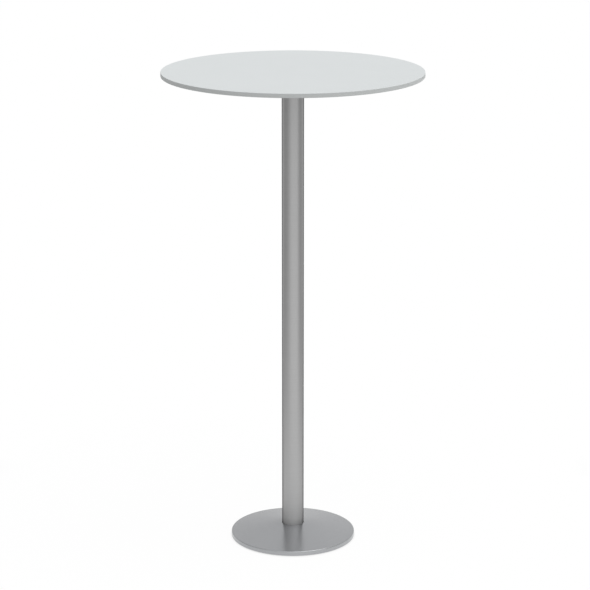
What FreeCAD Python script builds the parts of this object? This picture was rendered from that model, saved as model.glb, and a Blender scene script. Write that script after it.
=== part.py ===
import FreeCAD, Part
import math
import os

# Round bar table on a single column, in millimetres. It stands on the floor at z = 0, on the Z axis.

# Board
TABLE_HEIGHT = 1120.0
TOP_DIAMETER = 600.0
TOP_THICKNESS = 10.0
TOP_EDGE_RADIUS = 1.0
TOP_SKIN = 2.8

# Column
COLUMN_DIAMETER = 51.0
COLUMN_WALL = 2.0
COLUMN_END_ROUND = 0.4

# Base
BASE_DIAMETER = 293.0
PLATE_THICKNESS = 8.0
PLATE_LOWER_ROUND = 0.8
BASE_CONE_HEIGHT = 19.0
COVER_SHEET = 1.2
COVER_EDGE_RADIUS = 2.6
FLOOR_GAP = 1.8

# Cast spider under the board
SPIDER_DIAMETER = 360.0
ARM_AXIS_WIDTH = 46.0
ARM_TIP_WIDTH = 30.0
ARM_TIP_ROUND = 11.0
ARM_CROOK_LAND = 1.0
ARM_ROOT_DEPTH = 17.0
ARM_TIP_DEPTH = 9.0
ARM_WALL = 4.0
ARM_WEB = 5.0
ARM_POCKET_ROUND = 5.0
ARM_LIP_ROUND = 1.2
ARM_FLOOR_ROUND = 2.0
HUB_LIP = 11.0
HUB_DEPTH = 22.0
HUB_ROUND = 2.0
HUB_FILLET = 3.0
SPIGOT_LENGTH = 25.0
SPIGOT_WALL = 5.0
SPIGOT_LEAD_IN = 1.0
CORE_ROUND = 2.0
NUT_SEAT_THICKNESS = 8.0

# Screws and threaded inserts between spider and board
TOP_SCREW_DIAMETER = 6.0
TOP_SCREW_HEAD_DIAMETER = 10.5
TOP_SCREW_HEAD_HEIGHT = 3.3
TOP_SCREW_CROWN = 2.6
TOP_SCREW_SOCKET = 4.0
TOP_SCREW_SOCKET_DEPTH = 2.0
TOP_SCREW_TIP_GAP = 1.0
SCREW_TIP_ROUND = 0.6
TOP_WASHER_DIAMETER = 12.0
TOP_WASHER_THICKNESS = 1.6
INSERT_DIAMETER = 10.0
INNER_SCREW_FROM_HUB = 45.0
OUTER_SCREW_FROM_TIP = 18.0

# Tie rod and its nut
ROD_DIAMETER = 10.0
ROD_CHAMFER = 1.0
ROD_LOWER_GAP = 2.0
ROD_PROUD = 3.0
NUT_ACROSS_FLATS = 16.0
NUT_HEIGHT = 8.4
SPRING_WASHER_DIAMETER = 18.0
SPRING_WASHER_THICKNESS = 2.2
SPRING_WASHER_SLIT = 1.4
ROD_WASHER_DIAMETER = 20.0
ROD_WASHER_THICKNESS = 2.0
SOCKET_ROOM = 4.0
POCKET_HEADROOM = 4.4

# Plug that centres the tube, and its screws
BOSS_HEIGHT = 30.0
BOSS_LEAD_IN = 2.0
BOSS_SCREW_DIAMETER = 8.0
BOSS_SCREW_HEAD_DIAMETER = 16.0
BOSS_SCREW_SOCKET = 5.0
BOSS_SCREW_SOCKET_DEPTH = 2.8
BOSS_SCREW_REACH = 14.0
BOSS_DRILL_PAST = 2.0
BOSS_SCREW_SUNK = 0.3

# Levelling glides
GLIDE_INSET = 26.0
PAD_DIAMETER = 26.0
PAD_HEIGHT = 3.0
PAD_LOWER_ROUND = 1.0
PAD_GRIP_RADIUS = 1.6
STUD_DIAMETER = 8.0
STUD_HEAD_DIAMETER = 16.0
STUD_HEAD_HEIGHT = 1.4
STUD_SUNK = 0.4
STUD_CHAMFER = 0.8

# Clearances, each on the radius
THREAD_GAP = 0.05
SCREW_HOLE_GAP = 0.4
SPIGOT_GAP = 0.1
COVER_PLATE_GAP = 0.3
COVER_COLUMN_GAP = 0.4
HEAD_GAP = 0.2

# Angles round the column, in degrees
ARM_ANGLES = (0, 90, 180, 270)
BOSS_SCREW_ANGLES = (90, 210, 330)
GLIDE_ANGLES = (45, 135, 225, 315)
PAD_GRIPS = 12

# Levels
PLATE_UNDERSIDE = PAD_HEIGHT
PLATE_TOP = PLATE_UNDERSIDE + PLATE_THICKNESS
COLUMN_SEAT = PLATE_TOP + BASE_CONE_HEIGHT
BOARD_UNDERSIDE = TABLE_HEIGHT - TOP_THICKNESS
COLUMN_TOP = BOARD_UNDERSIDE - HUB_DEPTH
ROD_STACK = ROD_WASHER_THICKNESS + SPRING_WASHER_THICKNESS + NUT_HEIGHT
NUT_SEAT = BOARD_UNDERSIDE - ROD_STACK - ROD_PROUD - POCKET_HEADROOM
NUT_UNDERSIDE = NUT_SEAT + ROD_WASHER_THICKNESS + SPRING_WASHER_THICKNESS
NUT_TOP = NUT_SEAT + ROD_STACK
WASHER_TOP = BOARD_UNDERSIDE - ARM_WEB
WASHER_UNDERSIDE = WASHER_TOP - TOP_WASHER_THICKNESS

# Radii that follow from the sizes above
COLUMN_BORE = COLUMN_DIAMETER / 2 - COLUMN_WALL
SPIGOT_RADIUS = COLUMN_BORE - SPIGOT_GAP
HUB_RADIUS = COLUMN_DIAMETER / 2 + HUB_LIP
ARM_REACH = SPIDER_DIAMETER / 2
COVER_INNER_RADIUS = BASE_DIAMETER / 2 - COVER_SHEET
COVER_OPENING = COLUMN_DIAMETER / 2 + COVER_COLUMN_GAP
CONE_SLOPE = BASE_CONE_HEIGHT / (COVER_INNER_RADIUS - COVER_OPENING)
PLATE_RADIUS = COVER_INNER_RADIUS - COVER_PLATE_GAP
ROD_HOLE = ROD_DIAMETER / 2 + THREAD_GAP
BOSS_SCREW_CIRCLE = (ROD_HOLE + SPIGOT_RADIUS) / 2
GLIDE_CIRCLE = BASE_DIAMETER / 2 - GLIDE_INSET
INSERT_LENGTH = TOP_THICKNESS - TOP_SKIN
TOP_SCREW_CIRCLES = (HUB_RADIUS + INNER_SCREW_FROM_HUB, ARM_REACH - OUTER_SCREW_FROM_TIP)

UP = FreeCAD.Vector(0, 0, 1)
ORIGIN = FreeCAD.Vector(0, 0, 0)


def rounded_wire(corners):
    """Closed wire through (point, radius) corners, each rounded by a tangent arc of its own radius."""
    stretches = []
    for index, (corner, radius) in enumerate(corners):
        back = (corners[index - 1][0] - corner).normalize()
        ahead = (corners[(index + 1) % len(corners)][0] - corner).normalize()
        half_angle = back.getAngle(ahead) / 2
        reach = radius / math.tan(half_angle)
        middle = corner
        if radius:
            middle = corner + (back + ahead).normalize() * (radius / math.sin(half_angle) - radius)
        stretches.append((corner + back * reach, middle, corner + ahead * reach, radius))
    edges = []
    for index, (start, middle, end, radius) in enumerate(stretches):
        if radius:
            edges.append(Part.Arc(start, middle, end).toShape())
        following = stretches[(index + 1) % len(stretches)][0]
        if end.distanceToPoint(following) > 1e-6:
            edges.append(Part.makeLine(end, following))
    return Part.Wire(edges)


def turned(profile):
    """Solid of revolution round the column's axis from (radius, height, rounding) corners."""
    corners = [(FreeCAD.Vector(radius, 0, height), rounding) for radius, height, rounding in profile]
    return Part.Face(rounded_wire(corners)).revolve(ORIGIN, UP, 360)


def ring(inner, outer, low, high):
    """Plain ring or washer."""
    return turned([(inner, low, 0), (outer, low, 0), (outer, high, 0), (inner, high, 0)])


def upright(outline, low, high):
    """Upright solid over an (x, y, rounding) outline."""
    corners = [(FreeCAD.Vector(x, y, low), rounding) for x, y, rounding in outline]
    return Part.Face(rounded_wire(corners)).extrude(UP * (high - low))


def hexagon(across_flats, low, high):
    """Upright hexagonal prism on the axis."""
    corner_radius = across_flats / math.sqrt(3)
    turns = [math.radians(60 * step) for step in range(6)]
    return upright([(corner_radius * math.cos(t), corner_radius * math.sin(t), 0) for t in turns], low, high)


def hole(radius, low, high):
    """Round hole on the axis, as a solid to cut away."""
    return Part.makeCylinder(radius, high - low, FreeCAD.Vector(0, 0, low))


def at(shape, circle, angle):
    """Copy of a shape made on the axis, moved out to a place on a circle round the column."""
    copy = shape.copy()
    copy.translate(FreeCAD.Vector(circle, 0, 0))
    copy.rotate(ORIGIN, UP, angle)
    return copy


def all_round(shape, circles, angles):
    """Copies of a shape at every angle on every circle."""
    return [at(shape, circle, angle) for circle in circles for angle in angles]


def cone_level(radius):
    """Height of the base plate's sloping upper face at a distance from the axis."""
    return PLATE_TOP + CONE_SLOPE * (COVER_INNER_RADIUS - radius)


def table_top():
    """Board with rounded upper and lower edges and a blind hole for each insert."""
    radius = TOP_DIAMETER / 2
    board = turned([
        (0, BOARD_UNDERSIDE, 0),
        (radius, BOARD_UNDERSIDE, TOP_EDGE_RADIUS),
        (radius, TABLE_HEIGHT, TOP_EDGE_RADIUS),
        (0, TABLE_HEIGHT, 0),
    ])
    blind = hole(INSERT_DIAMETER / 2 + THREAD_GAP, BOARD_UNDERSIDE, BOARD_UNDERSIDE + INSERT_LENGTH)
    return board.cut(all_round(blind, TOP_SCREW_CIRCLES, ARM_ANGLES))


def threaded_inserts():
    """Threaded inserts in the board, flush with its underside."""
    bore = TOP_SCREW_DIAMETER / 2 + THREAD_GAP
    insert = ring(bore, INSERT_DIAMETER / 2, BOARD_UNDERSIDE, BOARD_UNDERSIDE + INSERT_LENGTH)
    return Part.makeCompound(all_round(insert, TOP_SCREW_CIRCLES, ARM_ANGLES))


def arm_half_width(radius):
    """Half the width of a spider arm at a distance from the axis."""
    return (ARM_AXIS_WIDTH + (ARM_TIP_WIDTH - ARM_AXIS_WIDTH) * radius / ARM_REACH) / 2


def arm_level(radius):
    """Height of the arms' sloping underside at a distance from the axis."""
    rise = (ARM_ROOT_DEPTH - ARM_TIP_DEPTH) * (radius - HUB_RADIUS) / (ARM_REACH - HUB_RADIUS)
    return BOARD_UNDERSIDE - ARM_ROOT_DEPTH + rise


def lip_edges(arms):
    """Edges all round the sloping underside of the arms and of the pockets in it."""
    sloping = [face for face in arms.Faces if isinstance(face.Surface, Part.Cone)]
    return [edge for face in sloping for edge in face.Edges]


def top_spider():
    """Casting with four tapered channel arms, a hub with the nut's pocket, and a hollow spigot."""
    tip = ARM_TIP_WIDTH / 2
    tip_round = min(ARM_TIP_ROUND, 0.9 * tip)
    fillet_edge = HUB_RADIUS + HUB_FILLET
    taper = (ARM_AXIS_WIDTH - ARM_TIP_WIDTH) / 2 / ARM_REACH
    crook = ARM_AXIS_WIDTH / 2 / (1 + taper)
    # The crook between two arms is rounded until it leaves a land outside the hub's fillet
    crook_depth = fillet_edge + ARM_CROOK_LAND + ARM_LIP_ROUND - crook * math.sqrt(2)
    crook_round = crook_depth / (1 / math.sin(math.pi / 4 + math.atan(taper)) - 1)
    plan = []
    for angle in ARM_ANGLES:
        turn = FreeCAD.Rotation(UP, angle)
        for x, y, rounding in ((ARM_REACH, -tip, tip_round), (ARM_REACH, tip, tip_round),
                               (crook, crook, crook_round)):
            place = turn.multVec(FreeCAD.Vector(x, y, 0))
            plan.append((place.x, place.y, rounding))
    lowest = arm_level(0)
    blank = upright(plan, lowest, BOARD_UNDERSIDE)
    beyond = ARM_REACH + tip
    envelope = turned([
        (0, BOARD_UNDERSIDE, 0),
        (0, lowest, 0),
        (beyond, arm_level(beyond), 0),
        (beyond, BOARD_UNDERSIDE, 0),
    ])
    arms = blank.common(envelope)
    near = fillet_edge + ARM_WALL
    far = ARM_REACH - ARM_WALL
    near_half = arm_half_width(near) - ARM_WALL
    far_half = arm_half_width(far) - ARM_WALL
    near_round = min(ARM_POCKET_ROUND, 0.9 * near_half)
    far_round = tip_round - ARM_WALL
    pocket = upright([
        (near, -near_half, near_round),
        (far, -far_half, far_round),
        (far, far_half, far_round),
        (near, near_half, near_round),
    ], lowest, WASHER_TOP)
    floor_edges = [edge for edge in pocket.Edges if edge.BoundBox.ZMin > lowest]
    pocket = pocket.makeFillet(min(ARM_FLOOR_ROUND, 0.6 * far_round), floor_edges)
    arms = arms.cut(all_round(pocket, (0,), ARM_ANGLES))
    arms = arms.makeFillet(min(ARM_LIP_ROUND, 0.4 * ARM_WALL), lip_edges(arms))
    nut_corner = NUT_ACROSS_FLATS / math.sqrt(3)
    nut_pocket = max(ROD_WASHER_DIAMETER / 2, nut_corner) + SOCKET_ROOM
    spigot_end = COLUMN_TOP - SPIGOT_LENGTH
    core = SPIGOT_RADIUS - SPIGOT_WALL
    hub = turned([
        (0, BOARD_UNDERSIDE, 0),
        (fillet_edge, BOARD_UNDERSIDE, 0),
        (fillet_edge, arm_level(fillet_edge), 0),
        (HUB_RADIUS, arm_level(HUB_RADIUS), HUB_FILLET),
        (HUB_RADIUS, COLUMN_TOP, HUB_ROUND),
        (SPIGOT_RADIUS, COLUMN_TOP, 0),
        (SPIGOT_RADIUS, spigot_end, SPIGOT_LEAD_IN),
        (core, spigot_end, 0),
        (core, NUT_SEAT - NUT_SEAT_THICKNESS, CORE_ROUND),
        (0, NUT_SEAT - NUT_SEAT_THICKNESS, 0),
    ])
    spider = arms.fuse(hub)
    spider = spider.cut(hole(nut_pocket, NUT_SEAT, BOARD_UNDERSIDE))
    spider = spider.cut(hole(ROD_DIAMETER / 2 + SCREW_HOLE_GAP, spigot_end, BOARD_UNDERSIDE))
    screw_hole = hole(TOP_SCREW_DIAMETER / 2 + SCREW_HOLE_GAP, WASHER_UNDERSIDE, BOARD_UNDERSIDE)
    return spider.cut(all_round(screw_hole, TOP_SCREW_CIRCLES, ARM_ANGLES)).removeSplitter()


def spider_screws():
    """Round-headed socket screws, up through the arms into the inserts."""
    head = TOP_SCREW_HEAD_DIAMETER / 2
    shank = TOP_SCREW_DIAMETER / 2
    low = WASHER_UNDERSIDE - TOP_SCREW_HEAD_HEIGHT
    tip = BOARD_UNDERSIDE + INSERT_LENGTH - TOP_SCREW_TIP_GAP
    screw = turned([
        (0, low, 0),
        (head, low, min(TOP_SCREW_CROWN, 0.9 * TOP_SCREW_HEAD_HEIGHT)),
        (head, WASHER_UNDERSIDE, 0),
        (shank, WASHER_UNDERSIDE, 0),
        (shank, tip, SCREW_TIP_ROUND),
        (0, tip, 0),
    ])
    screw = screw.cut(hexagon(TOP_SCREW_SOCKET, low, low + TOP_SCREW_SOCKET_DEPTH))
    return Part.makeCompound(all_round(screw, TOP_SCREW_CIRCLES, ARM_ANGLES))


def spider_washers():
    """Flat washers between the screw heads and the arms."""
    bore = TOP_SCREW_DIAMETER / 2 + HEAD_GAP
    washer = ring(bore, TOP_WASHER_DIAMETER / 2, WASHER_UNDERSIDE, WASHER_TOP)
    return Part.makeCompound(all_round(washer, TOP_SCREW_CIRCLES, ARM_ANGLES))


def column_tube():
    """Tube from the base plate up to the shoulder of the spider's hub."""
    radius = COLUMN_DIAMETER / 2
    return turned([
        (COLUMN_BORE, COLUMN_SEAT, COLUMN_END_ROUND),
        (radius, COLUMN_SEAT, COLUMN_END_ROUND),
        (radius, COLUMN_TOP, COLUMN_END_ROUND),
        (COLUMN_BORE, COLUMN_TOP, COLUMN_END_ROUND),
    ])


def tie_rod():
    """Rod that clamps spider, tube and base together."""
    radius = ROD_DIAMETER / 2
    low = COLUMN_SEAT + ROD_LOWER_GAP
    high = NUT_TOP + ROD_PROUD
    return turned([
        (0, low, 0),
        (radius - ROD_CHAMFER, low, 0),
        (radius, low + ROD_CHAMFER, 0),
        (radius, high - ROD_CHAMFER, 0),
        (radius - ROD_CHAMFER, high, 0),
        (0, high, 0),
    ])


def tie_rod_nut():
    """Hexagon nut with its corners bevelled above and below."""
    corner = NUT_ACROSS_FLATS / math.sqrt(3)
    flat = NUT_ACROSS_FLATS / 2
    bevel = (corner - flat) / math.sqrt(3)
    bevelled = turned([
        (ROD_HOLE, NUT_UNDERSIDE, 0),
        (flat, NUT_UNDERSIDE, 0),
        (corner, NUT_UNDERSIDE + bevel, 0),
        (corner, NUT_TOP - bevel, 0),
        (flat, NUT_TOP, 0),
        (ROD_HOLE, NUT_TOP, 0),
    ])
    return hexagon(NUT_ACROSS_FLATS, NUT_UNDERSIDE, NUT_TOP).common(bevelled)


def tie_rod_spring_washer():
    """Spring washer with its slanting slit."""
    low = NUT_UNDERSIDE - SPRING_WASHER_THICKNESS
    washer = ring(ROD_DIAMETER / 2 + HEAD_GAP, SPRING_WASHER_DIAMETER / 2, low, NUT_UNDERSIDE)
    side = SPRING_WASHER_SLIT / 2
    lean = SPRING_WASHER_THICKNESS / 2
    wire = rounded_wire([
        (FreeCAD.Vector(0, -side - lean, low), 0),
        (FreeCAD.Vector(0, side - lean, low), 0),
        (FreeCAD.Vector(0, side + lean, NUT_UNDERSIDE), 0),
        (FreeCAD.Vector(0, lean - side, NUT_UNDERSIDE), 0),
    ])
    slit = Part.Face(wire).extrude(FreeCAD.Vector(SPRING_WASHER_DIAMETER, 0, 0))
    return washer.cut(slit)


def tie_rod_washer():
    """Flat washer on the nut's seat in the hub."""
    bore = ROD_DIAMETER / 2 + HEAD_GAP
    return ring(bore, ROD_WASHER_DIAMETER / 2, NUT_SEAT, NUT_SEAT + ROD_WASHER_THICKNESS)


def column_boss():
    """Turned plug in the tube's foot, tapped for the rod and for its three screws."""
    high = COLUMN_SEAT + BOSS_HEIGHT
    boss = turned([
        (ROD_HOLE, COLUMN_SEAT, 0),
        (SPIGOT_RADIUS, COLUMN_SEAT, 0),
        (SPIGOT_RADIUS, high - BOSS_LEAD_IN, 0),
        (SPIGOT_RADIUS - BOSS_LEAD_IN, high, 0),
        (ROD_HOLE, high, 0),
    ])
    drilled = COLUMN_SEAT + BOSS_SCREW_REACH + BOSS_DRILL_PAST
    tapped = hole(BOSS_SCREW_DIAMETER / 2 + THREAD_GAP, COLUMN_SEAT, drilled)
    return boss.cut(all_round(tapped, (BOSS_SCREW_CIRCLE,), BOSS_SCREW_ANGLES))


def boss_screws():
    """Countersunk socket screws from below, through the plate into the plug."""
    head = BOSS_SCREW_HEAD_DIAMETER / 2
    shank = BOSS_SCREW_DIAMETER / 2
    low = PLATE_UNDERSIDE + BOSS_SCREW_SUNK
    tip = COLUMN_SEAT + BOSS_SCREW_REACH
    screw = turned([
        (0, low, 0),
        (head, low, 0),
        (shank, low + head - shank, 0),
        (shank, tip, SCREW_TIP_ROUND),
        (0, tip, 0),
    ])
    screw = screw.cut(hexagon(BOSS_SCREW_SOCKET, low, low + BOSS_SCREW_SOCKET_DEPTH))
    return Part.makeCompound(all_round(screw, (BOSS_SCREW_CIRCLE,), BOSS_SCREW_ANGLES))


def base_plate():
    """Heavy disc rising in a shallow cone to the column's seat, drilled for screws and glides."""
    bevel = PLATE_RADIUS - COVER_EDGE_RADIUS
    plate = turned([
        (0, PLATE_UNDERSIDE, 0),
        (PLATE_RADIUS, PLATE_UNDERSIDE, PLATE_LOWER_ROUND),
        (PLATE_RADIUS, PLATE_TOP - COVER_EDGE_RADIUS, 0),
        (bevel, cone_level(bevel), 0),
        (COVER_OPENING, COLUMN_SEAT, 0),
        (0, COLUMN_SEAT, 0),
    ])
    head = BOSS_SCREW_HEAD_DIAMETER / 2 + HEAD_GAP
    shank = BOSS_SCREW_DIAMETER / 2 + HEAD_GAP
    seat = PLATE_UNDERSIDE + BOSS_SCREW_SUNK
    sunk = turned([
        (0, PLATE_UNDERSIDE, 0),
        (head, PLATE_UNDERSIDE, 0),
        (head, seat, 0),
        (shank, seat + head - shank, 0),
        (shank, COLUMN_SEAT, 0),
        (0, COLUMN_SEAT, 0),
    ])
    tapped = hole(STUD_DIAMETER / 2 + THREAD_GAP, PLATE_UNDERSIDE, COLUMN_SEAT)
    plate = plate.cut(all_round(sunk, (BOSS_SCREW_CIRCLE,), BOSS_SCREW_ANGLES))
    return plate.cut(all_round(tapped, (GLIDE_CIRCLE,), GLIDE_ANGLES))


def base_cover():
    """Spun cover on the plate's cone, with a rounded rim, a skirt and a hole round the column."""
    outer = BASE_DIAMETER / 2
    upright_sheet = COVER_SHEET * math.hypot(1, CONE_SLOPE)
    return turned([
        (COVER_OPENING, COLUMN_SEAT, 0),
        (COVER_OPENING, COLUMN_SEAT + upright_sheet, 0),
        (outer, cone_level(outer) + upright_sheet, COVER_EDGE_RADIUS),
        (outer, FLOOR_GAP, 0),
        (COVER_INNER_RADIUS, FLOOR_GAP, 0),
        (COVER_INNER_RADIUS, PLATE_TOP, max(COVER_EDGE_RADIUS - COVER_SHEET, 0)),
    ])


def levelling_stud():
    """Flat-headed stud, sunk a little below the plate's upper face when it is fully in."""
    head = STUD_HEAD_DIAMETER / 2
    shank = STUD_DIAMETER / 2
    tip = cone_level(GLIDE_CIRCLE + shank) - STUD_SUNK
    return turned([
        (0, PAD_HEIGHT - STUD_HEAD_HEIGHT, 0),
        (head, PAD_HEIGHT - STUD_HEAD_HEIGHT, 0),
        (head, PAD_HEIGHT, 0),
        (shank, PAD_HEIGHT, 0),
        (shank, tip - STUD_CHAMFER, 0),
        (shank - STUD_CHAMFER, tip, 0),
        (0, tip, 0),
    ])


def glide_pad():
    """Nylon pad with a recess for the stud's head and grips round its edge."""
    radius = PAD_DIAMETER / 2
    recess = STUD_HEAD_DIAMETER / 2 + THREAD_GAP
    pad = turned([
        (0, 0, 0),
        (radius, 0, PAD_LOWER_ROUND),
        (radius, PAD_HEIGHT, 0),
        (recess, PAD_HEIGHT, 0),
        (recess, PAD_HEIGHT - STUD_HEAD_HEIGHT, 0),
        (0, PAD_HEIGHT - STUD_HEAD_HEIGHT, 0),
    ])
    grip = hole(PAD_GRIP_RADIUS, PAD_LOWER_ROUND, PAD_HEIGHT)
    turns = [360 / PAD_GRIPS * step for step in range(PAD_GRIPS)]
    return pad.cut(all_round(grip, (radius + 0.5 * PAD_GRIP_RADIUS,), turns))


pieces = {
    "table_top": table_top(),
    "threaded_inserts": threaded_inserts(),
    "top_spider": top_spider(),
    "spider_screws": spider_screws(),
    "spider_washers": spider_washers(),
    "column_tube": column_tube(),
    "tie_rod": tie_rod(),
    "tie_rod_nut": tie_rod_nut(),
    "tie_rod_spring_washer": tie_rod_spring_washer(),
    "tie_rod_washer": tie_rod_washer(),
    "column_boss": column_boss(),
    "boss_screws": boss_screws(),
    "base_plate": base_plate(),
    "base_cover": base_cover(),
}
for number, angle in enumerate(GLIDE_ANGLES, start=1):
    pieces[f"levelling_stud_{number}"] = at(levelling_stud(), GLIDE_CIRCLE, angle)
    pieces[f"glide_pad_{number}"] = at(glide_pad(), GLIDE_CIRCLE, angle)

os.makedirs("parts", exist_ok=True)
for name, shape in pieces.items():
    shape.exportStep(f"parts/{name}.step")
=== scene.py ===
import math

import bpy
from mathutils import Matrix, Vector
from mathutils.geometry import delaunay_2d_cdt


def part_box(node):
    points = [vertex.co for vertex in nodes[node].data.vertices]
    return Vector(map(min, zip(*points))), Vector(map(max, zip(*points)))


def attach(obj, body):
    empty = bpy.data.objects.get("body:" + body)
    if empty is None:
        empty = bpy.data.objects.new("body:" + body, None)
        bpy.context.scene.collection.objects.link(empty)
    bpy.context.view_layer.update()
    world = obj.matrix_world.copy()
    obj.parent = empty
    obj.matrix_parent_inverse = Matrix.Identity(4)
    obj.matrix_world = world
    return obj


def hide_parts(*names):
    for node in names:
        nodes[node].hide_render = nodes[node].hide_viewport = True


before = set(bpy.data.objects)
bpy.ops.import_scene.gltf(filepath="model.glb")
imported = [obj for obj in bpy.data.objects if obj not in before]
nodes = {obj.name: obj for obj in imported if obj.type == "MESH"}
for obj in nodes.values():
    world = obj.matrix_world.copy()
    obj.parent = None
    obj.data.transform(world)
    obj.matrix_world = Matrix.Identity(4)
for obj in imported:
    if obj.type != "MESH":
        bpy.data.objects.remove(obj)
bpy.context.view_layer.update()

# Camera, in metres: the photograph's place, pitch and framing
CAMERA_PLACE = (0.0, -4.9439, 1.9327)
CAMERA_PITCH = math.radians(15.1582)
CAMERA_LENS = 134.203
CAMERA_SENSOR = 36.0
CAMERA_SHIFT = 0.00359
CAMERA_FAR = 200.0

# Light on the surfaces: a sky that is brighter to the right and one wide lamp, high up to the right
SKY_LEVEL = 0.637
SKY_LEAN = 0.37
KEY_STRENGTH = 0.80
KEY_SPREAD = math.radians(48.0)
KEY_HEIGHT = math.radians(72.0)
KEY_TURN = math.radians(54.0)

# The studio all round: level at each turn from the front, in degrees.
# The camera, reflections and glass all see the same.
FLOOR_ROUND = ((-180.0, 1.0), (-128.0, 1.0), (-98.0, 0.44), (-66.0, 0.44), (-2.0, 1.0),
               (38.0, 1.0), (78.0, 0.50), (98.0, 0.50), (128.0, 1.0), (180.0, 1.0))
# The floor is white round the table, and takes those levels between these distances, in metres
FLOOR_WHITE_END = (0.84, 1.25)
# Painted shadow: under the base the floor is painted dark, out to its edge
PAINTED_SHADOW_UNDER_END = (0.130, 0.150)
PAINTED_SHADOW_UNDER_LEVEL = (0.35, 0.35, 0.35, 1.0)
SKY_ROUND = ((-180.0, 0.71), (-140.0, 0.65), (-90.0, 0.58), (-12.0, 1.0),
             (45.0, 1.0), (90.0, 0.58), (140.0, 0.65), (180.0, 0.71))
SKY_LOW_ROUND = ((-180.0, 0.70), (-140.0, 0.66), (-90.0, 0.48), (-12.0, 0.40),
                 (45.0, 0.40), (90.0, 0.52), (140.0, 0.66), (180.0, 0.70))
# Height, as a share of a unit direction, at which the low ring has given way to the upper one
SKY_LOW_END = 0.36

# Turned pieces: divisions round the column, and the angle from which an edge is shaded as sharp
ROUND_DIVISIONS = 360
SHARP_ANGLE = math.radians(32.0)

# Board, in metres: its edges and the blind holes for the threaded inserts
BOARD_EDGE_RADIUS = 0.001
BOARD_SKIN = 0.0028
BOARD_FLAT_SHARE = 0.98
HOLE_RADIUS = 0.00505
HOLE_CIRCLES = (0.0815, 0.162)
HOLE_DIVISIONS = 32

# Spun cover, in metres
COVER_SHEET = 0.0012
COVER_EDGE_RADIUS = 0.0026
COVER_CONE_RISE = 0.019
COVER_COLUMN_GAP = 0.0004
COVER_CUT_ROUND = 0.0003
ARC_DIVISIONS = 12
# Flat beside each arc that keeps its shading off the faces next to it
ARC_SHOULDER = 0.0002

# Threads, in metres: coarse metric, cut to 0.61 of the pitch
THREAD_DEPTH_SHARE = 0.61
THREAD_CREST_SHARE = 0.125
THREAD_ROOT_SHARE = 0.25
THREAD_ROWS = 10
THREAD_DIVISIONS = 48
STUD_RADIUS = 0.004
STUD_PITCH = 0.00125
STUD_HEAD_HEIGHT = 0.0014
STUD_CHAMFER = 0.0008
ROD_PITCH = 0.0015
ROD_CHAMFER = 0.001
ROD_THREAD_LENGTH = 0.045
EDGE_BREAK = 0.0002

# Floor: mostly its own white, and a share of the lit floor, which carries the shadow.
# The two shares together come to a strength of 1.
WHITE = (1.0, 1.0, 1.0, 1.0)
FLOOR_HALF = 40.0
FLOOR_COLOUR = (0.40, 0.40, 0.40, 1.0)
FLOOR_SHADOW_SHARE = 0.15
FLOOR_OWN_LIGHT = 1.115

# Finishes, in metres: thickness of the laminate's white faces, and softness of cast edges
LAMINATE_FACE = 0.0009
CAST_EDGE_RADIUS = 0.0009
# The tube's tint at a grazing angle
TUBE_EDGE_TINT = (0.03, 0.03, 0.03, 1.0)
# Stands in for the contact shade on the tube above the cover: share of its colour, and height
TUBE_FOOT_SHADE_SHARE = 0.76
TUBE_FOOT_SHADE_HEIGHT = 0.017
# Turn of the brushed finishes' gloss from the tangent, as a share of a whole turn
QUARTER_TURN = 0.25


# Node helpers

def node(tree, kind, inputs=None, **settings):
    made = tree.nodes.new(kind)
    for key, value in settings.items():
        setattr(made, key, value)
    for key, value in (inputs or {}).items():
        if isinstance(value, bpy.types.NodeSocket):
            tree.links.new(value, made.inputs[key])
        else:
            made.inputs[key].default_value = value
    return made


def finish_named(name, **sockets):
    """A new material with one principled shader; sockets are set on it directly."""
    material = bpy.data.materials.new(name)
    material.use_nodes = True
    tree = material.node_tree
    tree.nodes.clear()
    shader = node(tree, "ShaderNodeBsdfPrincipled")
    for key, value in sockets.items():
        shader.inputs[key.replace("_", " ")].default_value = value
    output = node(tree, "ShaderNodeOutputMaterial")
    tree.links.new(shader.outputs["BSDF"], output.inputs["Surface"])
    return material, tree, shader


def place(tree, scale=(1.0, 1.0, 1.0)):
    """The piece's own coordinates in metres, stretched by scale."""
    where = node(tree, "ShaderNodeTexCoord")
    mapped = node(tree, "ShaderNodeMapping", {"Vector": where.outputs["Object"], "Scale": scale})
    return mapped.outputs["Vector"]


def noise(tree, where, scale, detail=2.0, roughness=0.5):
    made = node(tree, "ShaderNodeTexNoise",
                {"Vector": where, "Scale": scale, "Detail": detail, "Roughness": roughness})
    return made.outputs["Fac"]


def spread(tree, value, low, high, start=0.3, end=0.7):
    """A texture value brought into the range low to high."""
    made = node(tree, "ShaderNodeMapRange",
                {"Value": value, "From Min": start, "From Max": end, "To Min": low, "To Max": high})
    return made.outputs["Result"]


def tint(tree, value, first, second):
    """A colour between two, by a value from 0 to 1."""
    made = node(tree, "ShaderNodeMix", data_type="RGBA")
    tree.links.new(value, made.inputs["Factor"])
    made.inputs[6].default_value = (*first, 1.0)
    made.inputs[7].default_value = (*second, 1.0)
    return made.outputs[2]


def add(tree, first, second, weight):
    made = node(tree, "ShaderNodeMath", {0: second, 1: weight, 2: first}, operation="MULTIPLY_ADD")
    return made.outputs["Value"]


def bump(tree, shader, height, distance, strength=1.0, under=None):
    made = node(tree, "ShaderNodeBump", {"Height": height, "Distance": distance, "Strength": strength})
    if under is not None:
        tree.links.new(under, made.inputs["Normal"])
    tree.links.new(made.outputs["Normal"], shader.inputs["Normal"])
    return made.outputs["Normal"]


# Pieces in mesh code

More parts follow.
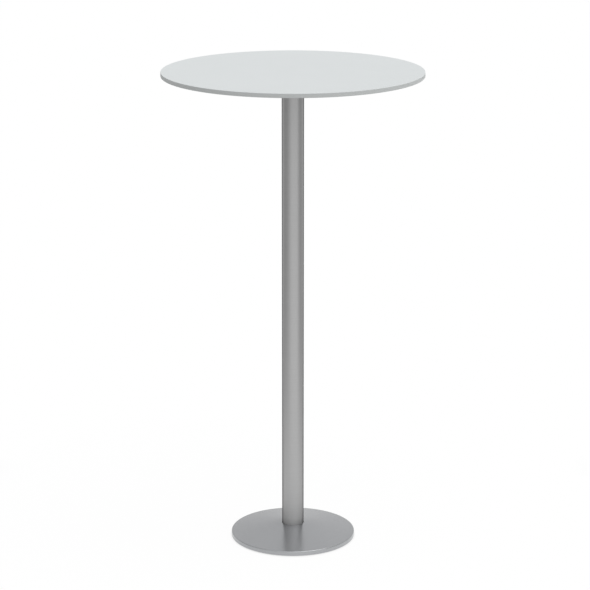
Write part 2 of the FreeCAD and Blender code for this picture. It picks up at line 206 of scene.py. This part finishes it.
def new_piece(name, points, faces, body, replaced):
    """A mesh piece in the row's frame that rides on a body and stands for a node."""
    mesh = bpy.data.meshes.new(name)
    mesh.from_pydata(points, [], faces)
    mesh.shade_smooth()
    mesh.set_sharp_from_angle(angle=SHARP_ANGLE)
    made = bpy.data.objects.new(name, mesh)
    bpy.context.scene.collection.objects.link(made)
    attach(made, body)
    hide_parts(replaced)
    return made


def rounded(corners):
    """Closed profile of (radius, height) points from (radius, height, rounding) corners."""
    points = []
    for index, (radius, height, rounding) in enumerate(corners):
        corner = Vector((radius, height))
        if not rounding:
            points.append(corner)
            continue
        back = (Vector(corners[index - 1][:2]) - corner).normalized()
        ahead = (Vector(corners[(index + 1) % len(corners)][:2]) - corner).normalized()
        half_angle = back.angle(ahead) / 2
        centre = corner + (back + ahead).normalized() * (rounding / math.sin(half_angle))
        start = corner + back * (rounding / math.tan(half_angle)) - centre
        end = corner + ahead * (rounding / math.tan(half_angle)) - centre
        sweep = start.angle_signed(end)
        points.append(centre + start + back * ARC_SHOULDER)
        for step in range(ARC_DIVISIONS + 1):
            turn = Matrix.Rotation(-sweep * step / ARC_DIVISIONS, 2)
            points.append(centre + turn @ start)
        points.append(centre + end + ahead * ARC_SHOULDER)
    return points


def spun(profile, closed):
    """Points and faces of a profile turned round the column's axis."""
    points, faces = [], []
    for step in range(ROUND_DIVISIONS):
        turn = 2 * math.pi * step / ROUND_DIVISIONS
        points += [(p.x * math.cos(turn), p.x * math.sin(turn), p.y) for p in profile]
    count = len(profile)
    for step in range(ROUND_DIVISIONS):
        here, ahead = step * count, (step + 1) % ROUND_DIVISIONS * count
        for index in range(count if closed else count - 1):
            beyond = (index + 1) % count
            faces.append((here + index, here + beyond, ahead + beyond, ahead + index))
    return points, faces


def spun_cover():
    """The base's cover: a low cone with a rounded rim and a skirt, its cut edges eased."""
    low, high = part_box("base_cover")
    outer = high[0]
    inner = outer - COVER_SHEET
    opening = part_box("column_tube")[1][0] + COVER_COLUMN_GAP
    slope = COVER_CONE_RISE / (inner - opening)
    upright_sheet = COVER_SHEET * math.hypot(1.0, slope)
    rim = high[2] - slope * (outer - opening)
    under_rim = high[2] - upright_sheet - slope * (inner - opening)
    profile = rounded([
        (opening, high[2] - upright_sheet, 0.0),
        (opening, high[2], COVER_CUT_ROUND),
        (outer, rim, COVER_EDGE_RADIUS),
        (outer, low[2], COVER_CUT_ROUND),
        (inner, low[2], COVER_CUT_ROUND),
        (inner, under_rim, COVER_EDGE_RADIUS - COVER_SHEET),
    ])
    points, faces = spun(profile, closed=True)
    return new_piece("spun_base_cover", points, faces, "frame", "base_cover")


def ring_of(middle, radius, height):
    """Points of a small circle."""
    turns = [2 * math.pi * step / HOLE_DIVISIONS for step in range(HOLE_DIVISIONS)]
    return [(middle[0] + radius * math.cos(t), middle[1] + radius * math.sin(t), height) for t in turns]


def drilled_board():
    """The top's board: a disc with even, rounded edges and the inserts' blind holes in its underside."""
    low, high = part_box("table_top")
    flat = BOARD_FLAT_SHARE * high[0]
    profile = rounded([
        (flat, high[2], 0.0),
        (high[0], high[2], BOARD_EDGE_RADIUS),
        (high[0], low[2], BOARD_EDGE_RADIUS),
        (flat, low[2], 0.0),
    ])
    points, faces = spun(profile, closed=False)
    last = len(profile) - 1
    faces.append(tuple(range(0, len(points), len(profile))))
    borders = [list(range(last, len(points), len(profile)))]
    for circle in HOLE_CIRCLES:
        for quarter in range(4):
            middle = (circle * math.cos(quarter * math.pi / 2), circle * math.sin(quarter * math.pi / 2))
            first = len(points)
            points += ring_of(middle, HOLE_RADIUS, low[2])
            points += ring_of(middle, HOLE_RADIUS, high[2] - BOARD_SKIN)
            lower = list(range(first, first + HOLE_DIVISIONS))
            upper = [index + HOLE_DIVISIONS for index in lower]
            faces.append(tuple(reversed(upper)))
            for step in range(HOLE_DIVISIONS):
                ahead = (step + 1) % HOLE_DIVISIONS
                faces.append((lower[step], upper[step], upper[ahead], lower[ahead]))
            borders.append(lower)
    # Triangles of the underside: inside the outer border and outside every hole
    corners = [index for border in borders for index in border]
    order = {index: position for position, index in enumerate(corners)}
    outline = [Vector(points[index]).to_2d() for index in corners]
    loops = [[order[index] for index in border] for border in borders]
    _, _, triangles, sources, _, inside = delaunay_2d_cdt(outline, [], loops, 0, 1e-9)
    for triangle, regions in zip(triangles, inside):
        if regions == [0]:
            faces.append(tuple(corners[sources[index][0]] for index in reversed(triangle)))
    return new_piece("drilled_board", points, faces, "frame", "table_top")


def groove(turns):
    """Depth of a thread's groove, from 0 on the crest to 1 at the root, by turns along it."""
    from_root = abs(2.0 * (turns % 1.0) - 1.0)
    flank = 1.0 - THREAD_CREST_SHARE - THREAD_ROOT_SHARE
    return min(1.0, max(0.0, (1.0 - THREAD_CREST_SHARE - from_root) / flank))


def thread_rows(low, high, radius, pitch, runs_out_up):
    """Rows (height, radius, groove depth) of a thread that fades out at its inner end."""
    count = round((high - low) / pitch * THREAD_ROWS)
    depth = THREAD_DEPTH_SHARE * pitch
    rows = []
    for index in range(count + 1):
        height = low + (high - low) * index / count
        to_end = high - height if runs_out_up else height - low
        rows.append((height, radius, depth * min(1.0, to_end / (2.0 * pitch))))
    return rows


def chamfered(rows, end, chamfer):
    """The same rows, brought in to a chamfer at the end."""
    return [(height, min(radius, radius - chamfer + abs(end - height)), depth)
            for height, radius, depth in rows]


def turned_bar(rows, crest, pitch, middle):
    """Points and faces of an upright bar round middle, with its grooves cut from the crest's radius."""
    points, faces = [], []
    count = THREAD_DIVISIONS
    for height, radius, depth in rows:
        for step in range(count):
            part = step / count
            reach = radius
            if depth:
                reach = min(radius, crest - depth * groove(height / pitch - part))
            turn = 2 * math.pi * part
            points.append((middle[0] + reach * math.cos(turn), middle[1] + reach * math.sin(turn), height))
    for row in range(len(rows) - 1):
        for step in range(count):
            ahead = (step + 1) % count
            faces.append((row * count + step, row * count + ahead,
                          (row + 1) * count + ahead, (row + 1) * count + step))
    faces.append(tuple(reversed(range(count))))
    faces.append(tuple((len(rows) - 1) * count + step for step in range(count)))
    return points, faces


def threaded_stud(number):
    """A glide's stud: a flat head with broken edges and a thread that runs out at the head."""
    replaced = f"levelling_stud_{number}"
    low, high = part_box(replaced)
    middle = ((low[0] + high[0]) / 2, (low[1] + high[1]) / 2)
    head = (high[0] - low[0]) / 2
    head_top = low[2] + STUD_HEAD_HEIGHT
    thread = thread_rows(head_top, high[2], STUD_RADIUS, STUD_PITCH, runs_out_up=False)
    rows = [
        (low[2], head - EDGE_BREAK, 0.0),
        (low[2] + EDGE_BREAK, head, 0.0),
        (head_top - EDGE_BREAK, head, 0.0),
        (head_top, head - EDGE_BREAK, 0.0),
        *chamfered(thread, high[2], STUD_CHAMFER),
    ]
    points, faces = turned_bar(rows, STUD_RADIUS, STUD_PITCH, middle)
    return new_piece(f"threaded_stud_{number}", points, faces, f"glide_{number}", replaced)


def threaded_rod():
    """The tie rod: plain in the middle, threaded and chamfered at both ends."""
    low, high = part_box("tie_rod")
    radius = (high[0] - low[0]) / 2
    lower = thread_rows(low[2], low[2] + ROD_THREAD_LENGTH, radius, ROD_PITCH, runs_out_up=True)
    upper = thread_rows(high[2] - ROD_THREAD_LENGTH, high[2], radius, ROD_PITCH, runs_out_up=False)
    rows = chamfered(lower, low[2], ROD_CHAMFER) + chamfered(upper, high[2], ROD_CHAMFER)
    points, faces = turned_bar(rows, radius, ROD_PITCH, (0.0, 0.0))
    return new_piece("threaded_tie_rod", points, faces, "frame", "tie_rod")


# Finishes

def white_laminate():
    material, tree, shader = finish_named("white_laminate", Specular_IOR_Level=0.35)
    fine = noise(tree, place(tree), 1400.0, 3.0, 0.6)
    broad = noise(tree, place(tree), 9.0, 4.0, 0.55)
    faces = tint(tree, spread(tree, add(tree, fine, broad, 0.7), 0.0, 1.0, 0.5, 1.2),
                 (0.793, 0.826, 0.832), (0.819, 0.852, 0.859))
    # The core that shows on the edge, in thin layers between the two faces
    layers = noise(tree, place(tree, (4.0, 4.0, 2400.0)), 1.0, 2.0, 0.6)
    core = tint(tree, spread(tree, layers, 0.0, 1.0), (0.722, 0.748, 0.745), (0.772, 0.798, 0.795))
    low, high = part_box("table_top")
    half = (high[2] - low[2]) / 2
    height = node(tree, "ShaderNodeSeparateXYZ", {"Vector": place(tree)}).outputs["Z"]
    from_middle = node(tree, "ShaderNodeMath", {0: height, 1: low[2] + half}, operation="SUBTRACT")
    depth = node(tree, "ShaderNodeMath", {0: from_middle.outputs["Value"]}, operation="ABSOLUTE")
    inside = spread(tree, depth.outputs["Value"], 1.0, 0.0, half - LAMINATE_FACE, half - LAMINATE_FACE / 2)
    colour = node(tree, "ShaderNodeMix", {"Factor": inside, 6: faces, 7: core}, data_type="RGBA")
    tree.links.new(colour.outputs[2], shader.inputs["Base Color"])
    tree.links.new(spread(tree, add(tree, fine, broad, 0.5), 0.44, 0.56), shader.inputs["Roughness"])
    bump(tree, shader, fine, 0.00004, 0.6)
    return material


def satin_tube():
    material, tree, shader = finish_named("satin_tube", Metallic=1.0, Anisotropic=0.72)
    shader.inputs["Specular Tint"].default_value = TUBE_EDGE_TINT
    shader.inputs["Anisotropic Rotation"].default_value = QUARTER_TURN
    around = node(tree, "ShaderNodeTangent", direction_type="RADIAL", axis="Z")
    tree.links.new(around.outputs["Tangent"], shader.inputs["Tangent"])
    hair = noise(tree, place(tree, (14.0, 14.0, 2600.0)), 1.0, 3.0, 0.6)
    bands = noise(tree, place(tree, (5.0, 5.0, 520.0)), 1.0, 3.0, 0.6)
    lines = spread(tree, add(tree, hair, bands, 0.8), 0.0, 1.0, 0.5, 1.3)
    broad = noise(tree, place(tree, (22.0, 22.0, 9.0)), 1.0, 3.0)
    colour = tint(tree, spread(tree, add(tree, lines, broad, 0.6), 0.0, 1.0, 0.5, 1.1),
                  (0.462, 0.462, 0.462), (0.504, 0.504, 0.504))
    # Painted shade: the tube's colour is darkened towards the cover, where contact shade would fall
    cover_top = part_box("base_cover")[1][2]
    height = node(tree, "ShaderNodeSeparateXYZ", {"Vector": place(tree)}).outputs["Z"]
    painted_foot_shade = spread(tree, height, TUBE_FOOT_SHADE_SHARE, 1.0, cover_top, cover_top + TUBE_FOOT_SHADE_HEIGHT)
    foot_shaded_colour = node(tree, "ShaderNodeMix", {"Factor": 1.0, 6: colour, 7: painted_foot_shade},
                  data_type="RGBA", blend_type="MULTIPLY")
    tree.links.new(foot_shaded_colour.outputs[2], shader.inputs["Base Color"])
    gloss = spread(tree, add(tree, lines, broad, 0.6), 0.34, 0.42, 0.5, 1.1)
    tree.links.new(gloss, shader.inputs["Roughness"])
    bump(tree, shader, lines, 0.00002, 0.35)
    return material


def satin_cover():
    material, tree, shader = finish_named("satin_cover", Metallic=0.72)
    # Fine rings left by spinning: noise by the distance from the column, changing slowly round it
    where = node(tree, "ShaderNodeSeparateXYZ", {"Vector": place(tree)})
    flat = node(tree, "ShaderNodeCombineXYZ", {"X": where.outputs["X"], "Y": where.outputs["Y"]})
    distance = node(tree, "ShaderNodeVectorMath", {0: flat.outputs["Vector"]}, operation="LENGTH")
    rings = node(tree, "ShaderNodeCombineXYZ", {"X": distance.outputs["Value"], "Y": where.outputs["X"],
                                                "Z": where.outputs["Y"]})
    close = node(tree, "ShaderNodeMapping",
                 {"Vector": rings.outputs["Vector"], "Scale": (2400.0, 12.0, 12.0)})
    wide = node(tree, "ShaderNodeMapping",
                {"Vector": rings.outputs["Vector"], "Scale": (460.0, 5.0, 5.0)})
    hair = noise(tree, close.outputs["Vector"], 1.0, 3.0, 0.6)
    bands = noise(tree, wide.outputs["Vector"], 1.0, 3.0, 0.6)
    fine = spread(tree, add(tree, hair, bands, 0.8), 0.0, 1.0, 0.5, 1.3)
    broad = noise(tree, place(tree), 14.0, 4.0)
    colour = tint(tree, spread(tree, add(tree, fine, broad, 0.6), 0.0, 1.0, 0.5, 1.1),
                  (0.437, 0.446, 0.460), (0.477, 0.486, 0.500))
    tree.links.new(colour, shader.inputs["Base Color"])
    gloss = spread(tree, add(tree, fine, broad, 0.6), 0.20, 0.27, 0.5, 1.1)
    tree.links.new(gloss, shader.inputs["Roughness"])
    bump(tree, shader, fine, 0.00002, 0.3)
    return material


def cast_aluminium():
    material, tree, shader = finish_named("cast_aluminium", Metallic=1.0)
    grain = noise(tree, place(tree), 620.0, 4.0, 0.65)
    broad = noise(tree, place(tree), 45.0, 4.0)
    colour = tint(tree, spread(tree, add(tree, grain, broad, 0.8), 0.0, 1.0, 0.5, 1.3),
                  (0.44, 0.445, 0.455), (0.60, 0.605, 0.61))
    tree.links.new(colour, shader.inputs["Base Color"])
    tree.links.new(spread(tree, grain, 0.42, 0.60), shader.inputs["Roughness"])
    soft = node(tree, "ShaderNodeBevel", {"Radius": CAST_EDGE_RADIUS}, samples=4)
    bump(tree, shader, add(tree, grain, broad, 0.8), 0.00018, 0.7, soft.outputs["Normal"])
    return material


def zinc_steel():
    material, tree, shader = finish_named("zinc_steel", Metallic=1.0)
    fine = noise(tree, place(tree), 1500.0, 3.0, 0.6)
    broad = noise(tree, place(tree), 160.0, 3.0)
    colour = tint(tree, spread(tree, broad, 0.0, 1.0), (0.50, 0.52, 0.55), (0.64, 0.64, 0.62))
    tree.links.new(colour, shader.inputs["Base Color"])
    gloss = spread(tree, add(tree, fine, broad, 0.6), 0.24, 0.38, 0.5, 1.1)
    tree.links.new(gloss, shader.inputs["Roughness"])
    bump(tree, shader, fine, 0.00003, 0.5)
    return material


def turned_steel():
    material, tree, shader = finish_named("turned_steel", Metallic=1.0, Anisotropic=0.5)
    shader.inputs["Anisotropic Rotation"].default_value = QUARTER_TURN
    around = node(tree, "ShaderNodeTangent", direction_type="RADIAL", axis="Z")
    tree.links.new(around.outputs["Tangent"], shader.inputs["Tangent"])
    lines = noise(tree, place(tree, (10.0, 10.0, 1800.0)), 1.0, 3.0, 0.6)
    colour = tint(tree, spread(tree, lines, 0.0, 1.0), (0.40, 0.40, 0.40), (0.52, 0.52, 0.52))
    tree.links.new(colour, shader.inputs["Base Color"])
    tree.links.new(spread(tree, lines, 0.22, 0.34), shader.inputs["Roughness"])
    bump(tree, shader, lines, 0.00005, 0.5)
    return material


def black_steel():
    material, tree, shader = finish_named("black_steel", Specular_IOR_Level=0.5)
    orange_peel = noise(tree, place(tree), 520.0, 2.0, 0.5)
    broad = noise(tree, place(tree), 30.0, 4.0)
    colour = tint(tree, spread(tree, broad, 0.0, 1.0), (0.021, 0.021, 0.022), (0.033, 0.033, 0.034))
    tree.links.new(colour, shader.inputs["Base Color"])
    tree.links.new(spread(tree, orange_peel, 0.42, 0.58), shader.inputs["Roughness"])
    bump(tree, shader, orange_peel, 0.00010, 0.6)
    return material


def brass_insert():
    material, tree, shader = finish_named("brass_insert", Metallic=1.0)
    lines = noise(tree, place(tree, (30.0, 30.0, 2200.0)), 1.0, 3.0)
    colour = tint(tree, spread(tree, lines, 0.0, 1.0), (0.62, 0.43, 0.17), (0.74, 0.55, 0.25))
    tree.links.new(colour, shader.inputs["Base Color"])
    tree.links.new(spread(tree, lines, 0.24, 0.36), shader.inputs["Roughness"])
    bump(tree, shader, lines, 0.00004, 0.5)
    return material


def nylon():
    material, tree, shader = finish_named("nylon", Specular_IOR_Level=0.45)
    fine = noise(tree, place(tree), 1100.0, 3.0, 0.6)
    broad = noise(tree, place(tree), 90.0, 3.0)
    colour = tint(tree, spread(tree, broad, 0.0, 1.0), (0.030, 0.030, 0.031), (0.048, 0.048, 0.049))
    tree.links.new(colour, shader.inputs["Base Color"])
    tree.links.new(spread(tree, fine, 0.40, 0.56), shader.inputs["Roughness"])
    bump(tree, shader, fine, 0.00006, 0.6)
    return material


tube_finish = satin_tube()
cover_finish = satin_cover()
slot_finishes = {
    "white_laminate": white_laminate(),
    "cast_aluminium": cast_aluminium(),
    "zinc_steel": zinc_steel(),
    "turned_steel": turned_steel(),
    "black_steel": black_steel(),
    "brass_insert": brass_insert(),
    "nylon": nylon(),
}
node_finishes = {"column_tube": tube_finish, "base_cover": cover_finish}
piece_finishes = {
    drilled_board(): slot_finishes["white_laminate"],
    spun_cover(): cover_finish,
    threaded_rod(): slot_finishes["zinc_steel"],
}
for number in (1, 2, 3, 4):
    piece_finishes[threaded_stud(number)] = slot_finishes["zinc_steel"]

for name, piece in nodes.items():
    slot = piece.data.materials[0].name
    finish = node_finishes.get(name) or slot_finishes[slot]
    piece.data.materials.clear()
    piece.data.materials.append(finish)
for piece, finish in piece_finishes.items():
    piece.data.materials.append(finish)


# Stage: floor, sky, lamp

def flat_mesh(name, corners):
    mesh = bpy.data.meshes.new(name)
    mesh.from_pydata(corners, [], [tuple(range(len(corners)))])
    made = bpy.data.objects.new(name, mesh)
    bpy.context.scene.collection.objects.link(made)
    return made


def round_about(tree, towards, levels):
    """The studio's level in a direction."""
    split = node(tree, "ShaderNodeSeparateXYZ", {"Vector": towards})
    ahead = node(tree, "ShaderNodeMath", {0: split.outputs["Y"], 1: -1.0}, operation="MULTIPLY")
    turn = node(tree, "ShaderNodeMath", {0: split.outputs["X"], 1: ahead.outputs["Value"]},
                operation="ARCTAN2")
    share = spread(tree, turn.outputs["Value"], 0.0, 1.0, -math.pi, math.pi)
    ramp = node(tree, "ShaderNodeValToRGB", {"Fac": share})
    ramp.color_ramp.interpolation = "EASE"
    stops = ramp.color_ramp.elements
    while len(stops) < len(levels):
        stops.new(0.5)
    for stop, (degrees, level) in zip(stops, levels):
        stop.position = (degrees + 180.0) / 360.0
        stop.color = (level, level, level, 1.0)
    return ramp.outputs["Color"]


def seen_ray(tree):
    """1 on a ray from the camera, in a reflection or through glass."""
    path = node(tree, "ShaderNodeLightPath")
    either = node(tree, "ShaderNodeMath", operation="MAXIMUM",
                  inputs={0: path.outputs["Is Camera Ray"], 1: path.outputs["Is Glossy Ray"]})
    seen = node(tree, "ShaderNodeMath", operation="MAXIMUM",
                inputs={0: either.outputs["Value"], 1: path.outputs["Is Transmission Ray"]})
    return seen.outputs["Value"]


def floor_finish():
    material = bpy.data.materials.new("pale_floor")
    material.use_nodes = True
    tree = material.node_tree
    tree.nodes.clear()
    here = node(tree, "ShaderNodeNewGeometry")
    distance = node(tree, "ShaderNodeVectorMath", {0: here.outputs["Position"]}, operation="LENGTH")
    far = spread(tree, distance.outputs["Value"], 0.0, 1.0, *FLOOR_WHITE_END)
    levels = round_about(tree, here.outputs["Position"], FLOOR_ROUND)
    open_floor = node(tree, "ShaderNodeMix", {"Factor": far, 6: WHITE, 7: levels}, data_type="RGBA")
    # Painted shadow: the floor under the base is darkened to a set level, whatever the light
    under = spread(tree, distance.outputs["Value"], 0.0, 1.0, *PAINTED_SHADOW_UNDER_END)
    whole = node(tree, "ShaderNodeMix", {"Factor": under, 6: PAINTED_SHADOW_UNDER_LEVEL, 7: open_floor.outputs[2]},
                 data_type="RGBA")
    matt = node(tree, "ShaderNodeBsdfDiffuse", {"Color": FLOOR_COLOUR})
    white = node(tree, "ShaderNodeEmission", {"Color": whole.outputs[2], "Strength": FLOOR_OWN_LIGHT})
    share = node(tree, "ShaderNodeMath", {0: seen_ray(tree), 1: 1.0 - FLOOR_SHADOW_SHARE},
                 operation="MULTIPLY")
    mixed = node(tree, "ShaderNodeMixShader", {0: share.outputs["Value"]})
    tree.links.new(matt.outputs["BSDF"], mixed.inputs[1])
    tree.links.new(white.outputs["Emission"], mixed.inputs[2])
    clear = node(tree, "ShaderNodeBsdfTransparent")
    both = node(tree, "ShaderNodeMixShader", {0: here.outputs["Backfacing"]})
    tree.links.new(mixed.outputs["Shader"], both.inputs[1])
    tree.links.new(clear.outputs["BSDF"], both.inputs[2])
    output = node(tree, "ShaderNodeOutputMaterial")
    tree.links.new(both.outputs["Shader"], output.inputs["Surface"])
    return material


floor = flat_mesh("floor", [(-FLOOR_HALF, -FLOOR_HALF, 0.0), (FLOOR_HALF, -FLOOR_HALF, 0.0),
                            (FLOOR_HALF, FLOOR_HALF, 0.0), (-FLOOR_HALF, FLOOR_HALF, 0.0)])
floor.data.materials.append(floor_finish())

world = bpy.data.worlds.new("studio")
bpy.context.scene.world = world
world.use_nodes = True
sky = world.node_tree
sky.nodes.clear()
direction = node(sky, "ShaderNodeTexCoord").outputs["Generated"]
parts = node(sky, "ShaderNodeSeparateXYZ", {"Vector": direction})
raised = spread(sky, parts.outputs["Z"], 0.0, 1.0, 0.0, SKY_LOW_END)
rings = node(sky, "ShaderNodeMix", {"Factor": raised}, data_type="RGBA")
sky.links.new(round_about(sky, direction, SKY_LOW_ROUND), rings.inputs[6])
sky.links.new(round_about(sky, direction, SKY_ROUND), rings.inputs[7])
sky_level = spread(sky, parts.outputs["X"],
                   SKY_LEVEL * (1.0 - SKY_LEAN), SKY_LEVEL * (1.0 + SKY_LEAN), -1.0, 1.0)
sky_light = node(sky, "ShaderNodeBackground", {"Color": WHITE, "Strength": sky_level})
sky_white = node(sky, "ShaderNodeBackground", {"Color": rings.outputs[2], "Strength": 1.0})
sky_mix = node(sky, "ShaderNodeMixShader", {0: seen_ray(sky)})
sky.links.new(sky_light.outputs["Background"], sky_mix.inputs[1])
sky.links.new(sky_white.outputs["Background"], sky_mix.inputs[2])
sky_output = node(sky, "ShaderNodeOutputWorld")
sky.links.new(sky_mix.outputs["Shader"], sky_output.inputs["Surface"])

key_data = bpy.data.lights.new("key", "SUN")
key_data.energy = KEY_STRENGTH
key_data.angle = KEY_SPREAD
key = bpy.data.objects.new("key", key_data)
key.rotation_euler = (math.pi / 2 - KEY_HEIGHT, 0.0, KEY_TURN)
bpy.context.scene.collection.objects.link(key)

# Camera
camera_data = bpy.data.cameras.new("camera")
camera_data.lens = CAMERA_LENS
camera_data.sensor_width = CAMERA_SENSOR
camera_data.shift_x = CAMERA_SHIFT
camera_data.dof.use_dof = False
camera_data.clip_end = CAMERA_FAR
camera = bpy.data.objects.new("camera", camera_data)
camera.location = CAMERA_PLACE
camera.rotation_euler = (math.pi / 2 - CAMERA_PITCH, 0.0, 0.0)
bpy.context.scene.collection.objects.link(camera)
bpy.context.scene.camera = camera

bpy.context.scene.view_settings.view_transform = "Standard"
